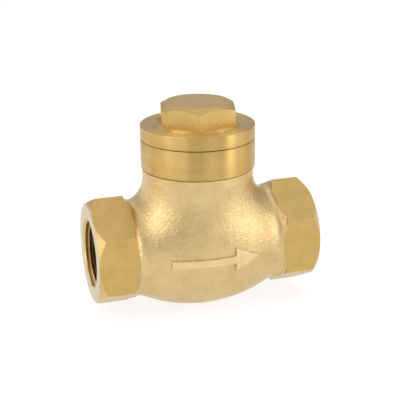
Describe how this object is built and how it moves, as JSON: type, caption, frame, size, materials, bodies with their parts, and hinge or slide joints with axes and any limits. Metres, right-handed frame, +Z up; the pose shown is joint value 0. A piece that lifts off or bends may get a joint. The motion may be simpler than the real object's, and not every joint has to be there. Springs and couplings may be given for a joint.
{
  "type": "swing check valve",
  "caption": "Brass swing check valve: round belly, hexagonal female threaded ends, screwed hexagon cap, and a hinged flap that swings off a tilted seat.",
  "frame": {"origin": "centre of the inlet's mouth, on the pipe's axis", "axes": "+X along the pipe in the direction of flow, +Z up through the cap, +Y towards the side plug"},
  "size_m": [0.07, 0.0408, 0.0645],
  "materials": {
    "cast_brass": "shot-blasted casting with a satin, finely pitted grain; its hexagons and neck ring are machined",
    "turned_brass": "turned, with fine circular tool marks",
    "flap_brass": "cast, lightly tumbled",
    "nut_brass": "machined",
    "seat_bronze": "turned bronze",
    "pin_steel": "ground stainless steel",
    "washer_steel": "stamped stainless steel",
    "seal_rubber": "moulded nitrile rubber",
    "gasket_fibre": "compressed fibre sheet"
  },
  "bodies": {
    "valve_body": {"body": "cast_brass", "seat_ring": "seat_bronze", "hinge_pin": "pin_steel", "hinge_pin_plug": "turned_brass", "plug_washer": "gasket_fibre"},
    "flap_arm": {"hanger": "flap_brass"},
    "flap_disc": {"disc_holder": "turned_brass", "disc_face": "seal_rubber", "face_washer": "washer_steel", "face_nut": "nut_brass", "hanger_washer": "washer_steel", "hanger_nut": "nut_brass", "split_pin": "pin_steel"},
    "cap_seal": {"cap_gasket": "gasket_fibre"},
    "screw_cap": {"cap": "turned_brass"}
  },
  "joints": [
    {"name": "flap_swing", "type": "hinge", "parent": "valve_body", "child": "flap_arm", "pos_m": [0.02844, 0, 0.01499], "axis": [0, -1, 0], "range_deg": [0, 70]},
    {"name": "disc_spin", "type": "hinge", "parent": "flap_arm", "child": "flap_disc", "pos_m": [0.026, 0, 0], "axis": [0.9903, 0, 0.1392], "continuous": true},
    {"name": "cap_lift", "type": "slide", "parent": "valve_body", "child": "cap_seal", "axis": [0, 0, 1], "range_m": [0, 0.00901]},
    {"name": "cap_turn", "type": "hinge", "parent": "cap_seal", "child": "screw_cap", "pos_m": [0.035, 0, 0.034], "axis": [0, 0, 1], "range_deg": [0, 2160]}
  ],
  "couplings": [
    {"joint": "cap_lift", "follows": "cap_turn", "m_per_rad": 0.00023873}
  ]
}
